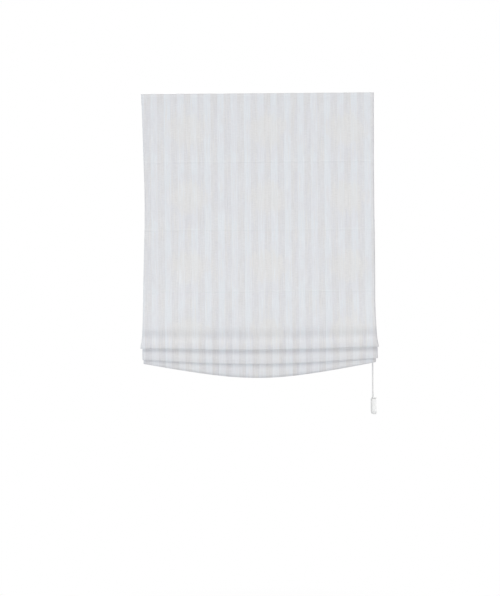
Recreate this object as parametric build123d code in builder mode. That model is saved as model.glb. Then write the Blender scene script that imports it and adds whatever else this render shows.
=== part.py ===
from build123d import *
from math import radians, sqrt, tan
import os

os.makedirs("parts", exist_ok=True)

# Roman blind, sizes in millimetres. X runs to the right as seen from the room, Y goes from the room
# to the window, Z is up. The origin is the middle of the bracket holes, on the brackets' top faces.

# Gaps of pieces that seat, slide or turn on one another
seat_gap = 0.3
fit_gap = 0.1
running_gap = 0.4
cut_overrun = 4.0

# Headrail, a channel open at the top with its lips turned inwards
head_width = 744.0
rail_depth = 32.0
rail_height = 30.0
rail_wall = 1.5
rail_lip = 5.0
rail_edge_radius = 1.0

# Mounting brackets of spring steel that snap under the lips
bracket_inset = 102.0
bracket_width = 34.0
bracket_thickness = 1.5
bracket_foot = 2.4
bracket_tab_length = 9.0
bracket_tab_width = 16.0
bracket_tab_corner = 3.0
bracket_hole_radius = 2.3
bracket_hole_spacing = 14.0

# Idle end cap and the bush that turns in it
cap_thickness = 2.0
cap_plug = 9.0
cap_corner_radius = 2.0
bush_radius = 4.5
bush_collar_radius = 6.5
bush_collar = 2.0
bush_socket_depth = 6.0

# Drive shaft and the spools on it
shaft_side = 5.0
shaft_chamfer = 0.5
spool_radius = 9.0
spool_flange_radius = 11.5
spool_flange = 1.5
spool_barrel = 26.0
spool_exit_share = 0.3
journal_radius = 4.5
journal_length = 4.5

# Cradles that carry the spools in the rail
cradle_floor = 1.5
cradle_wall = 3.0
cradle_rise = 5.0
cradle_rib = 1.5
cradle_rib_height = 9.0

# Lift cords, their rings and where they end
lift_cord_inset = 42.0
lift_cord_radius = 0.7
cord_hole_radius = 1.5
ring_radius = 5.5
ring_wire_radius = 0.8
tip_thickness = 4.0
tip_hole_radius = 2.2
tip_sleeve_radius = 4.2
tip_sleeve_length = 20.0
tip_socket_depth = 11.0
rod_radius = 3.0
stop_radius = 4.0
stop_height = 10.0
stop_edge_radius = 1.5

# Endless cord, the clutch that it turns and the brake spring
loop_cord_radius = 1.4
loop_radius = 10.0
wheel_flange_radius = 11.6
groove_flare = 1.6
hub_radius = 5.5
stub_radius = 2.5
stub_length = 5.0
clutch_width = 18.0
clutch_web = 4.0
clutch_cover_thickness = 2.0
clutch_spigot = 12.0
clutch_edge = 0.8
cord_slot = 5.0
spring_wire = 1.0
spring_turns = 4
spring_pitch = 1.3

# Tensioner at the side of the recess
side_clearance = 2.0
tensioner_drop = 1007.0
tensioner_height = 56.0
tensioner_depth = 30.0
tensioner_corner_radius = 13.0
tensioner_bulge_radius = 6.5
tensioner_base_thickness = 2.5
tensioner_wall = 1.6
tensioner_hole_inset = 8.0
tensioner_hole_radius = 1.75
tensioner_head_radius = 3.4
tensioner_head_seat = 3.0
pulley_width = 8.0
axle_radius = 2.5
axle_boss_radius = 4.5

# Touch tapes between the rail and the cloth
tape_thickness = 1.2
tape_height = 20.0
tape_inset = 4.0

# Cloth seen from the front
cloth_thickness = 1.6
cloth_top_drop = 1.0
top_overhang = 2.0
waist_inset = 2.5
fold_overhang = 10.0
second_overhang = 6.0
hem_overhang = 1.0
waist_drop = 400.0

# Cloth seen from the side: how far each bend at the side edges lies below the one before it
ring_drops = (221.0, 439.0, 637.0)
lean_fall = 3.0
shoulder_fall = 114.0
valley_fall = 25.0
roll_fall = 20.0
first_fold_fall = 17.0
second_neck_fall = 2.0
second_roll_fall = 20.0
second_fold_fall = 14.5
hidden_fold_rise = 10.5
skirt_neck_fall = 1.5
skirt_roll_fall = 11.0
hem_fall = 11.5
turn_rise = 10.0
turn_height = 3.6

# How far layers and rolls of the cloth stand forward
layer_pitch = 2.8
shoulder_depth = 7.0
valley_depth = 0.3
roll_depth = 8.0
first_fold_depth = 3.5
second_roll_depth = 8.0
second_fold_depth = 4.0
skirt_roll_depth = 6.0
hem_depth = 3.5

# How much further each bend hangs in the middle of the blind
shoulder_sag = 4.0
valley_sag = 6.0
roll_sag = 7.0
first_fold_sag = 7.5
turn_sags = (10.0, 18.0, 26.0)
second_neck_sag = 9.0
second_roll_sag = 14.0
second_fold_sag = 16.5
hidden_fold_sag = 20.0
skirt_neck_sag = 26.0
skirt_roll_sag = 38.0
hem_sag = 48.0
sag_round_share = 0.52
bend_share = 0.45
station_shares = (-1.0, -0.8, -0.6, -0.4, -0.2, 0.0, 0.2, 0.4, 0.6, 0.8, 1.0)

# Heights and depths of the rail and what hangs on it
rail_top = -bracket_thickness
rail_bottom = rail_top - rail_height
rail_middle = rail_top - rail_height / 2
rail_floor = rail_bottom + rail_wall
lip_underside = rail_top - rail_wall
rail_front = -rail_depth / 2
channel_width = rail_depth - 2 * rail_wall
channel_height = lip_underside - rail_floor
channel_middle = (lip_underside + rail_floor) / 2
cloth_back = rail_front - 2 * tape_thickness
hang_y = cloth_back - cloth_thickness / 2
cord_y = cloth_back + seat_gap + ring_radius
shaft_y = cord_y + lift_cord_radius + seat_gap + spool_radius
shaft_z = rail_floor + cradle_floor + running_gap + spool_flange_radius
shaft_axis = Axis((0, shaft_y, shaft_z), (1, 0, 0))
shaft_plane = Plane(origin=(0, shaft_y, shaft_z), x_dir=(1, 0, 0), z_dir=(0, -1, 0))

# Places along the rail
bracket_span = head_width - 2 * bracket_inset
rail_left = -head_width / 2 + cap_thickness
rail_right = head_width / 2 - clutch_width
rail_length = rail_right - rail_left
lift_x = head_width / 2 - lift_cord_inset
spool_x = lift_x - spool_exit_share * spool_barrel
pocket_left = rail_right + clutch_web
cover_left = head_width / 2 - clutch_cover_thickness
loop_x = (pocket_left + cover_left) / 2
wheel_left = pocket_left + running_gap
wheel_right = cover_left - running_gap
hub_left = rail_right - clutch_spigot
plug_end = rail_left + cap_plug
sides = ((-1, "left"), (1, "right"))


def save(piece, label):
    piece.label = label
    export_step(piece, f"parts/{label}.step")


def sag_at(share):
    """Share of the full sag at a share of the half width: one in the middle, none at the sides."""
    rise = sqrt(1 + (share / sag_round_share) ** 2) - 1
    full = sqrt(1 + (1 / sag_round_share) ** 2) - 1
    return 1 - rise / full


# Headrail with a hole for each lift cord in its floor
with BuildPart() as headrail:
    with BuildSketch(Plane.YZ.offset(rail_left)):
        with Locations((0, rail_middle)):
            RectangleRounded(rail_depth, rail_height, rail_edge_radius)
        with Locations((0, channel_middle)):
            Rectangle(channel_width, channel_height, mode=Mode.SUBTRACT)
        with Locations((0, rail_top)):
            Rectangle(rail_depth - 2 * rail_lip, 2 * rail_wall + cut_overrun, mode=Mode.SUBTRACT)
    extrude(amount=rail_length)
    with BuildSketch(Plane.XY.offset(rail_floor)):
        with Locations((-lift_x, cord_y), (lift_x, cord_y)):
            Circle(cord_hole_radius)
    extrude(amount=-rail_wall - cut_overrun, mode=Mode.SUBTRACT)
save(headrail.part, "headrail")

# Brackets: a plate under the window's head, two hooks under the lips and a release tab at the back
hook_y = rail_depth / 2 - rail_lip - seat_gap
hook_bottom = lip_underside - seat_gap - bracket_thickness
for side, name in sides:
    bracket_x = side * bracket_span / 2
    with BuildPart() as bracket:
        with BuildSketch(Plane.YZ.offset(bracket_x - bracket_width / 2)):
            with Locations((0, -bracket_thickness / 2)):
                Rectangle(rail_depth, bracket_thickness)
            for turn in (-1, 1):
                with Locations((turn * (hook_y - bracket_thickness / 2), hook_bottom / 2)):
                    Rectangle(bracket_thickness, -hook_bottom)
                with Locations((turn * (hook_y + bracket_foot / 2), hook_bottom + bracket_thickness / 2)):
                    Rectangle(bracket_foot, bracket_thickness)
        extrude(amount=bracket_width)
        with BuildSketch(Plane.XY):
            with Locations((bracket_x, rail_depth / 2 + bracket_tab_length / 2)):
                Rectangle(bracket_tab_width, bracket_tab_length)
        extrude(amount=-bracket_thickness)
        tab_edges = bracket.edges().filter_by(Axis.Z).group_by(Axis.Y)[-1]
        fillet(tab_edges, radius=bracket_tab_corner)
        with Locations((bracket_x, 0, 0)):
            with GridLocations(bracket_width, bracket_hole_spacing, 1, 2):
                Hole(bracket_hole_radius, depth=bracket_thickness)
    save(bracket.part, f"mounting_bracket_{name}")

# Idle end cap, a cover with a plug in the channel and a round bearing
with BuildPart() as end_cap:
    with BuildSketch(Plane.YZ.offset(-head_width / 2)):
        with Locations((0, rail_middle)):
            RectangleRounded(rail_depth, rail_height, cap_corner_radius)
    extrude(amount=cap_thickness)
    with BuildSketch(Plane.YZ.offset(rail_left)):
        with Locations((0, channel_middle)):
            Rectangle(channel_width - 2 * fit_gap, channel_height - 2 * fit_gap)
    extrude(amount=cap_plug)
    with BuildSketch(Plane.YZ.offset(rail_left)):
        with Locations((shaft_y, shaft_z)):
            Circle(bush_radius + fit_gap)
    extrude(amount=cap_plug, mode=Mode.SUBTRACT)
    chamfer(end_cap.faces().sort_by(Axis.X)[0].edges(), length=clutch_edge)
save(end_cap.part, "idle_end_cap")

# Bush on the shaft's idle end
bush_left = rail_left + running_gap
collar_left = plug_end + running_gap
bush_right = collar_left + bush_collar
shaft_left = bush_right - bush_socket_depth
with BuildPart() as bush:
    with BuildSketch(shaft_plane):
        with BuildLine():
            Polyline(
                (bush_left, 0),
                (bush_left, bush_radius),
                (collar_left, bush_radius),
                (collar_left, bush_collar_radius),
                (bush_right, bush_collar_radius),
                (bush_right, 0),
                close=True,
            )
        make_face()
    revolve(axis=shaft_axis)
    with BuildSketch(Plane.YZ.offset(bush_right)):
        with Locations((shaft_y, shaft_z)):
            Rectangle(shaft_side + 2 * fit_gap, shaft_side + 2 * fit_gap)
    extrude(amount=shaft_left - bush_right - fit_gap, mode=Mode.SUBTRACT)
save(bush.part, "idle_bush")

# Square shaft from the bush to the cord wheel's hub
shaft_right = rail_right - fit_gap
with BuildPart() as shaft:
    with BuildSketch(Plane.YZ.offset(shaft_left)):
        with Locations((shaft_y, shaft_z)):
            Rectangle(shaft_side, shaft_side)
    extrude(amount=shaft_right - shaft_left)
    chamfer(shaft.edges().filter_by(Axis.X), length=shaft_chamfer)
save(shaft.part, "drive_shaft")

# Spools and the cradles that they turn in
spool_half = spool_barrel / 2 + spool_flange
cradle_half = spool_half + running_gap + cradle_wall
cradle_width = channel_width - 2 * fit_gap
cradle_top = shaft_z + cradle_rise
for side, name in sides:
    middle = side * spool_x
    with BuildPart() as spool:
        with BuildSketch(shaft_plane):
            for end in (-1, 1):
                with Locations((middle + end * (spool_half + journal_length / 2), journal_radius / 2)):
                    Rectangle(journal_length, journal_radius)
                with Locations((middle + end * (spool_half - spool_flange / 2), spool_flange_radius / 2)):
                    Rectangle(spool_flange, spool_flange_radius)
            with Locations((middle, spool_radius / 2)):
                Rectangle(spool_barrel, spool_radius)
        revolve(axis=shaft_axis)
        with BuildSketch(Plane.YZ.offset(middle)):
            with Locations((shaft_y, shaft_z)):
                Rectangle(shaft_side + 2 * fit_gap, shaft_side + 2 * fit_gap)
        extrude(amount=spool_half + journal_length + cut_overrun, both=True, mode=Mode.SUBTRACT)
    save(spool.part, f"spool_{name}")

    with BuildPart() as cradle:
        with BuildSketch(Plane.XY.offset(rail_floor)):
            with Locations((middle, 0)):
                Rectangle(2 * cradle_half, cradle_width)
        extrude(amount=cradle_floor)
        for end in (-1, 1):
            wall_x = middle + end * (cradle_half - cradle_wall / 2)
            with BuildSketch(Plane.YZ.offset(wall_x)):
                with Locations((0, (rail_floor + cradle_top) / 2)):
                    Rectangle(cradle_width, cradle_top - rail_floor)
                with Locations((shaft_y, shaft_z)):
                    Circle(journal_radius + fit_gap, mode=Mode.SUBTRACT)
                with Locations((shaft_y, shaft_z + cradle_rise)):
                    Rectangle(2 * (journal_radius + fit_gap), 2 * cradle_rise, mode=Mode.SUBTRACT)
            extrude(amount=cradle_wall / 2, both=True)
        with BuildSketch(Plane.XY.offset(rail_floor)):
            with Locations((middle, cradle_width / 2 - cradle_rib / 2)):
                Rectangle(2 * cradle_half, cradle_rib)
        extrude(amount=cradle_rib_height)
        with BuildSketch(Plane.XY.offset(rail_floor)):
            with Locations((side * lift_x, cord_y)):
                Circle(cord_hole_radius)
        extrude(amount=cradle_floor, mode=Mode.SUBTRACT)
    save(cradle.part, f"spool_cradle_{name}")

# Clutch housing with a spigot in the rail, a wheel pocket and two slots for the cord
pocket_radius = wheel_flange_radius + 2 * seat_gap
spring_inner = hub_radius + seat_gap
spring_outer = spring_inner + spring_wire
spring_length = spring_turns * spring_pitch + 2 * spring_wire
with BuildPart() as clutch_housing:
    with BuildSketch(Plane.YZ.offset(rail_right)):
        with Locations((0, rail_middle)):
            RectangleRounded(rail_depth, rail_height, cap_corner_radius)
    extrude(amount=cover_left - rail_right)
    with BuildSketch(Plane.YZ.offset(rail_right)):
        with Locations((0, channel_middle)):
            Rectangle(channel_width - 2 * fit_gap, channel_height - 2 * fit_gap)
    extrude(amount=-clutch_spigot)
    with BuildSketch(Plane.YZ.offset(pocket_left)):
        with Locations((shaft_y, shaft_z)):
            Circle(pocket_radius)
        slot_middle = (shaft_z + rail_bottom - cut_overrun) / 2
        with Locations((shaft_y - loop_radius, slot_middle), (shaft_y + loop_radius, slot_middle)):
            Rectangle(cord_slot, shaft_z - rail_bottom + cut_overrun)
    extrude(amount=cover_left - pocket_left, mode=Mode.SUBTRACT)
    with BuildSketch(Plane.YZ.offset(pocket_left)):
        with Locations((shaft_y, shaft_z)):
            Circle(hub_radius + fit_gap)
    extrude(amount=-clutch_web - clutch_spigot, mode=Mode.SUBTRACT)
    with BuildSketch(Plane.YZ.offset(pocket_left)):
        with Locations((shaft_y, shaft_z)):
            Circle(spring_outer + seat_gap)
    extrude(amount=-spring_length - seat_gap, mode=Mode.SUBTRACT)
save(clutch_housing.part, "clutch_housing")

# Wrap spring that brakes the hub inside the housing
spring_left = pocket_left - spring_length
spring_middle_radius = (spring_inner + spring_outer) / 2
with BuildPart() as spring:
    with BuildLine():
        coil = Helix(
            pitch=spring_pitch,
            height=spring_turns * spring_pitch,
            radius=spring_middle_radius,
            center=(spring_left + spring_wire / 2, shaft_y, shaft_z),
            direction=(1, 0, 0),
        )
    with BuildSketch(Plane(origin=coil @ 0, z_dir=coil % 0)):
        Circle(spring_wire / 2)
    sweep(path=coil)
save(spring.part, "brake_spring")

# Clutch cover with the stub that carries the wheel's outer side
with BuildPart() as clutch_cover:
    with BuildSketch(Plane.YZ.offset(cover_left)):
        with Locations((0, rail_middle)):
            RectangleRounded(rail_depth, rail_height, cap_corner_radius)
    extrude(amount=clutch_cover_thickness)
    chamfer(clutch_cover.faces().sort_by(Axis.X)[-1].edges(), length=clutch_edge)
    with BuildSketch(Plane.YZ.offset(cover_left)):
        with Locations((shaft_y, shaft_z)):
            Circle(stub_radius)
    extrude(amount=-stub_length)
save(clutch_cover.part, "clutch_cover")


def groove_profile(left, right):
    """Half section of a grooved wheel on the axis, from its left face to its right face."""
    middle = (left + right) / 2
    root_radius = loop_radius - loop_cord_radius - seat_gap
    root_half = loop_cord_radius + seat_gap
    return [
        (left, 0),
        (left, wheel_flange_radius),
        (middle - root_half - groove_flare, wheel_flange_radius),
        (middle - root_half, root_radius),
        (middle + root_half, root_radius),
        (middle + root_half + groove_flare, wheel_flange_radius),
        (right, wheel_flange_radius),
        (right, 0),
    ]


# Cord wheel with its hub, which turns in the housing and drives the shaft
with BuildPart() as cord_wheel:
    with BuildSketch(shaft_plane):
        with BuildLine():
            Polyline(*groove_profile(wheel_left, wheel_right), close=True)
        make_face()
        with Locations(((hub_left + wheel_left) / 2, hub_radius / 2)):
            Rectangle(wheel_left - hub_left, hub_radius)
    revolve(axis=shaft_axis)
    with BuildSketch(Plane.YZ.offset(hub_left)):
        with Locations((shaft_y, shaft_z)):
            Rectangle(shaft_side + 2 * fit_gap, shaft_side + 2 * fit_gap)
    extrude(amount=clutch_spigot, mode=Mode.SUBTRACT)
    with BuildSketch(Plane.YZ.offset(wheel_right)):
        with Locations((shaft_y, shaft_z)):
            Circle(stub_radius + fit_gap)
    extrude(amount=-stub_length, mode=Mode.SUBTRACT)
save(cord_wheel.part, "cord_wheel")

# Touch tapes: hooks on the rail's front, loops on the back of the cloth
tape_middle = rail_top - tape_inset - tape_height / 2
for label, tape_front in (("hook_tape", rail_front), ("loop_tape", rail_front - tape_thickness)):
    with BuildPart() as tape:
        with BuildSketch(Plane.XZ.offset(-tape_front)):
            with Locations(((rail_left + rail_right) / 2, tape_middle)):
                Rectangle(rail_length, tape_height)
        extrude(amount=tape_thickness)
    save(tape.part, label)

# Widths of the cloth, which is made to the rail
top_width = head_width + 2 * top_overhang
waist_width = head_width - 2 * waist_inset
flare_width = head_width
fold_width = head_width + 2 * fold_overhang
second_width = head_width + 2 * second_overhang
hem_width = head_width + 2 * hem_overhang

# Bends of the cloth at its side edges, from the lowest row of rings that still hangs free to the hem
lean_drop = ring_drops[2] + lean_fall
shoulder_drop = lean_drop + shoulder_fall
valley_drop = shoulder_drop + valley_fall
roll_drop = valley_drop + roll_fall
first_fold_drop = roll_drop + first_fold_fall
second_neck_drop = first_fold_drop + second_neck_fall
second_roll_drop = second_neck_drop + second_roll_fall
second_fold_drop = second_roll_drop + second_fold_fall
hidden_fold_drop = second_fold_drop - hidden_fold_rise
skirt_neck_drop = hidden_fold_drop + skirt_neck_fall
skirt_roll_drop = skirt_neck_drop + skirt_roll_fall
hem_drop = skirt_roll_drop + hem_fall
turn_drop = shoulder_drop - turn_rise

# Layers of the cloth, counted forward from the one that hangs at the rings
layer = [hang_y - step * layer_pitch for step in range(7)]
turns = [turn_drop + 2 * step * turn_height for step in range(3)]


def fold_points(sag):
    """Middle line of the cloth from the rail to the hem, where sag is the share of the full sag."""
    first_bottom = -first_fold_drop - first_fold_sag * sag
    second_bottom = -second_fold_drop - second_fold_sag * sag
    hidden_bottom = -hidden_fold_drop - hidden_fold_sag * sag
    tops = [-drop - fall * sag for drop, fall in zip(turns, turn_sags)]
    return [
        (hang_y, -cloth_top_drop),
        (hang_y, -lean_drop),
        (layer[6] - shoulder_depth, -shoulder_drop - shoulder_sag * sag),
        (layer[6] - valley_depth, -valley_drop - valley_sag * sag),
        (layer[6] - roll_depth, -roll_drop - roll_sag * sag),
        (layer[6] - first_fold_depth, first_bottom),
        (layer[5], first_bottom),
        (layer[5], tops[0]),
        (hang_y, tops[0]),
        (hang_y, tops[0] - turn_height),
        (layer[4], tops[0] - turn_height),
        (layer[4], -second_neck_drop - second_neck_sag * sag),
        (layer[4] - second_roll_depth, -second_roll_drop - second_roll_sag * sag),
        (layer[4] - second_fold_depth, second_bottom),
        (layer[3], second_bottom),
        (layer[3], tops[1]),
        (hang_y, tops[1]),
        (hang_y, tops[1] - turn_height),
        (layer[2], tops[1] - turn_height),
        (layer[2], hidden_bottom),
        (layer[1], hidden_bottom),
        (layer[1], tops[2]),
        (hang_y, tops[2]),
        (hang_y, -skirt_neck_drop - skirt_neck_sag * sag),
        (hang_y - skirt_roll_depth, -skirt_roll_drop - skirt_roll_sag * sag),
        (hang_y - hem_depth, -hem_drop - hem_sag * sag),
    ]


def bend_radii(points):
    """A radius for each corner, as large as the shorter of its two runs allows."""
    places = [Vector(y, z) for y, z in points]
    radii = []
    for before, corner, after in zip(places, places[1:], places[2:]):
        arrive = corner - before
        leave = after - corner
        shorter = min(arrive.length, leave.length)
        radii.append(bend_share * shorter / tan(radians(arrive.get_angle(leave)) / 2))
    return radii


# Shade cloth: sections of the folded sheet across the width, cut to the outline seen from the front
loft_half = fold_width / 2 + cloth_thickness
hem_floor = hem_drop + hem_sag + cut_overrun
first_step = first_fold_drop + cloth_thickness
second_step = second_fold_drop + cloth_thickness
with BuildPart() as cloth:
    for share in station_shares:
        with BuildSketch(Plane.YZ.offset(share * loft_half)):
            with BuildLine():
                points = fold_points(sag_at(share))
                FilletPolyline(*points, radius=bend_radii(points))
                offset(amount=cloth_thickness / 2, side=Side.BOTH, kind=Kind.ARC)
            make_face()
    loft()
    with BuildSketch(Plane.XZ):
        with BuildLine():
            Spline(
                (top_width / 2, 0),
                (waist_width / 2, -waist_drop),
                (flare_width / 2, -ring_drops[2]),
                (fold_width / 2, -first_step),
            )
            Polyline(
                (fold_width / 2, -first_step),
                (second_width / 2, -first_step),
                (second_width / 2, -second_step),
                (hem_width / 2, -second_step),
                (hem_width / 2, -hem_floor),
                (0, -hem_floor),
                (0, 0),
                (top_width / 2, 0),
            )
        make_face()
        mirror(about=Plane.YZ)
    extrude(amount=rail_depth * 2, both=True, mode=Mode.INTERSECT)
save(cloth.part, "shade_cloth")

# Rings sewn to the back of the cloth, two in each row; the third row has come forward with the cloth
lift_sag = sag_at(lift_x / loft_half)
lean_run = Vector(hang_y - layer[6] + shoulder_depth, shoulder_fall + shoulder_sag * lift_sag)
lean_reach = bend_share * lean_run.length
lean_radius = lean_reach / tan(radians(lean_run.get_angle(Vector(0, 1))) / 2)
lean_lead = lean_radius - sqrt(lean_radius**2 - (lean_reach - lean_fall) ** 2)
ring_places = [(cord_y, -drop) for drop in ring_drops]
ring_places[2] = (cord_y - lean_lead, -ring_drops[2])
for drop, fall in zip(turns[:2], turn_sags):
    ring_places.append((cord_y, -drop - turn_height / 2 - fall * lift_sag))
for row, (ring_y, level) in enumerate(ring_places, start=1):
    with BuildPart() as rings:
        with Locations((-lift_x, ring_y, level), (lift_x, ring_y, level)):
            Torus(ring_radius - ring_wire_radius, ring_wire_radius)
    save(rings.part, f"ring_row_{row}")

# Spreader rod between two eyes that the lift cords pass through
tip_level = -turns[2] - turn_sags[2] * lift_sag - turn_height - tip_thickness
rod_half = lift_x - tip_sleeve_length + tip_socket_depth - fit_gap
with BuildPart() as rod:
    with BuildSketch(Plane.YZ):
        with Locations((cord_y, tip_level)):
            Circle(rod_radius)
    extrude(amount=rod_half, both=True)
save(rod.part, "spreader_rod")

stop_top = tip_level - tip_sleeve_radius - seat_gap
for side, name in sides:
    with BuildPart() as tip:
        with BuildSketch(Plane.XY.offset(tip_level - tip_thickness / 2)):
            with Locations((side * lift_x, cord_y)):
                Circle(ring_radius)
        extrude(amount=tip_thickness)
        with BuildSketch(Plane.YZ.offset(side * (lift_x - tip_sleeve_length))):
            with Locations((cord_y, tip_level)):
                Circle(tip_sleeve_radius)
        extrude(amount=side * (tip_sleeve_length - tip_hole_radius))
        with BuildSketch(Plane.YZ.offset(side * (lift_x - tip_sleeve_length))):
            with Locations((cord_y, tip_level)):
                Circle(rod_radius + fit_gap)
        extrude(amount=side * tip_socket_depth, mode=Mode.SUBTRACT)
        with BuildSketch(Plane.XY.offset(tip_level)):
            with Locations((side * lift_x, cord_y)):
                Circle(tip_hole_radius)
        extrude(amount=tip_sleeve_radius + cut_overrun, both=True, mode=Mode.SUBTRACT)
    save(tip.part, f"rod_tip_{name}")

    with BuildPart() as stop:
        with BuildSketch(Plane.XY.offset(stop_top)):
            with Locations((side * lift_x, cord_y)):
                Circle(stop_radius)
        extrude(amount=-stop_height)
        fillet(stop.edges(), radius=stop_edge_radius)
        with BuildSketch(Plane.XY.offset(stop_top)):
            with Locations((side * lift_x, cord_y)):
                Circle(lift_cord_radius + seat_gap)
        extrude(amount=-stop_height, mode=Mode.SUBTRACT)
    save(stop.part, f"cord_stop_{name}")

    with BuildPart() as lift_cord:
        with BuildSketch(Plane.XY.offset(shaft_z)):
            with Locations((side * lift_x, cord_y)):
                Circle(lift_cord_radius)
        extrude(amount=stop_top - stop_height - shaft_z)
    save(lift_cord.part, f"lift_cord_{name}")

# Tensioner: a flat base with a boss, a bulging cover with a pocket open at the top, a pulley on its axle
tensioner_z = -tensioner_drop
tensioner_hole_spacing = tensioner_height - 2 * tensioner_hole_inset
base_right = head_width / 2 + side_clearance
base_left = base_right - tensioner_base_thickness
pulley_left = loop_x - pulley_width / 2
pulley_right = loop_x + pulley_width / 2
cover_inside = pulley_left - running_gap
cover_outside = cover_inside - tensioner_wall
pulley_axis = Axis((0, shaft_y, tensioner_z), (1, 0, 0))
upper_hole = tensioner_z + tensioner_hole_spacing / 2
lower_hole = tensioner_z - tensioner_hole_spacing / 2
with BuildPart() as tensioner_base:
    with BuildSketch(Plane.YZ.offset(base_left)):
        with Locations((shaft_y, tensioner_z)):
            RectangleRounded(tensioner_depth, tensioner_height, tensioner_corner_radius)
    extrude(amount=tensioner_base_thickness)
    with BuildSketch(Plane.YZ.offset(base_left)):
        with Locations((shaft_y, tensioner_z)):
            Circle(axle_boss_radius)
    extrude(amount=pulley_right + running_gap - base_left)
    with BuildSketch(Plane.YZ.offset(base_right)):
        with Locations((shaft_y, tensioner_z)):
            Circle(axle_radius + fit_gap)
        with Locations((shaft_y, upper_hole), (shaft_y, lower_hole)):
            Circle(tensioner_hole_radius)
    extrude(amount=pulley_right - base_right, mode=Mode.SUBTRACT)
save(tensioner_base.part, "tensioner_base")

with BuildPart() as tensioner_cover:
    with BuildSketch(Plane.YZ.offset(base_left)):
        with Locations((shaft_y, tensioner_z)):
            RectangleRounded(tensioner_depth, tensioner_height, tensioner_corner_radius)
    extrude(amount=cover_outside - base_left)
    fillet(tensioner_cover.faces().sort_by(Axis.X)[0].edges(), radius=tensioner_bulge_radius)
    with BuildSketch(Plane.YZ.offset(base_left)):
        with Locations((shaft_y, tensioner_z)):
            Circle(pocket_radius)
        with Locations((shaft_y, tensioner_z + tensioner_height / 2)):
            Rectangle(2 * pocket_radius, tensioner_height)
    extrude(amount=cover_inside - base_left, mode=Mode.SUBTRACT)
    with BuildSketch(Plane.YZ.offset(base_left)):
        with Locations((shaft_y, tensioner_z)):
            Circle(axle_radius + fit_gap)
        with Locations((shaft_y, upper_hole), (shaft_y, lower_hole)):
            Circle(tensioner_hole_radius)
    extrude(amount=cover_outside - base_left - cut_overrun, mode=Mode.SUBTRACT)
    with BuildSketch(Plane.YZ.offset(base_left - tensioner_head_seat)):
        with Locations((shaft_y, upper_hole), (shaft_y, lower_hole)):
            Circle(tensioner_head_radius)
    extrude(amount=cover_outside - base_left - cut_overrun, mode=Mode.SUBTRACT)
save(tensioner_cover.part, "tensioner_cover")

with BuildPart() as tensioner_pulley:
    with BuildSketch(Plane(origin=(0, shaft_y, tensioner_z), x_dir=(1, 0, 0), z_dir=(0, -1, 0))):
        with BuildLine():
            Polyline(*groove_profile(pulley_left, pulley_right), close=True)
        make_face()
    revolve(axis=pulley_axis)
    with BuildSketch(Plane.YZ.offset(loop_x)):
        with Locations((shaft_y, tensioner_z)):
            Circle(axle_radius + fit_gap)
    extrude(amount=pulley_width, both=True, mode=Mode.SUBTRACT)
save(tensioner_pulley.part, "tensioner_pulley")

with BuildPart() as axle:
    with BuildSketch(Plane.YZ.offset(cover_outside)):
        with Locations((shaft_y, tensioner_z)):
            Circle(axle_radius)
    extrude(amount=base_right - cover_outside)
save(axle.part, "tensioner_axle")

# Endless cord: over the cord wheel, down at the front and the back, and under the pulley
with BuildPart() as control_cord:
    for level, turn in ((shaft_z, 180), (tensioner_z, -180)):
        with BuildSketch(Plane.XY.offset(level)):
            with Locations((loop_x, shaft_y - loop_radius)):
                Circle(loop_cord_radius)
        revolve(axis=Axis((0, shaft_y, level), (-1, 0, 0)), revolution_arc=turn)
    with BuildSketch(Plane.XY.offset(shaft_z)):
        with Locations((loop_x, shaft_y - loop_radius), (loop_x, shaft_y + loop_radius)):
            Circle(loop_cord_radius)
    extrude(amount=tensioner_z - shaft_z)
save(control_cord.part, "control_cord")
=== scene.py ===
import bpy
import math
import numpy as np
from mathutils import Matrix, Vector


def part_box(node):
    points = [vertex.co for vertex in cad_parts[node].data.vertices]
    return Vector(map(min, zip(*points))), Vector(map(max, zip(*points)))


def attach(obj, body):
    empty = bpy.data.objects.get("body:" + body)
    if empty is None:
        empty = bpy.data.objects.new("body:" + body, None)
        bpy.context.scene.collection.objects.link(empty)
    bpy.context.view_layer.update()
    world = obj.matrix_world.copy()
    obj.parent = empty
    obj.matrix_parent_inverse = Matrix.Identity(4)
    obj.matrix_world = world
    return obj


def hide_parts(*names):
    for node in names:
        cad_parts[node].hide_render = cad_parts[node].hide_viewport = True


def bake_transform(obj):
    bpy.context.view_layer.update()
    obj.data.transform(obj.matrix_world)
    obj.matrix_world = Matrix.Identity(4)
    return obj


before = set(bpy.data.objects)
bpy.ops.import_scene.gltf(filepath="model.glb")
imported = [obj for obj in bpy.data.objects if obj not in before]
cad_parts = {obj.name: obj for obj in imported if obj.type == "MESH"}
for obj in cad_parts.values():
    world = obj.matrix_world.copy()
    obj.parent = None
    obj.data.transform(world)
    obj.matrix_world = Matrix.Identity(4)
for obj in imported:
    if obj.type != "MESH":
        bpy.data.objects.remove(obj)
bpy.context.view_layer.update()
scene = bpy.context.scene
scene.view_settings.view_transform = "Standard"

# Camera. The blind is seen straight on from the room, from a point level with its lower third,
# with the picture turned by less than half a degree.
def put_in_scene(name, data):
    """An object in the scene, at the origin, that holds this data."""
    made = bpy.data.objects.new(name, data)
    scene.collection.objects.link(made)
    return made


picture_height, camera_distance = 1.9122, 4.0
aim_x, aim_y, aim_z = -0.0295, -0.0200, -0.6577
camera_data = bpy.data.cameras.new("camera")
camera_data.sensor_width = 36.0
camera_data.lens = camera_data.sensor_width * camera_distance / picture_height
camera = put_in_scene("camera", camera_data)
camera.location = (aim_x, aim_y - camera_distance, aim_z)
camera.rotation_euler = [math.radians(turn) for turn in (90.0, 0.45, 0.0)]
scene.camera = camera

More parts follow.
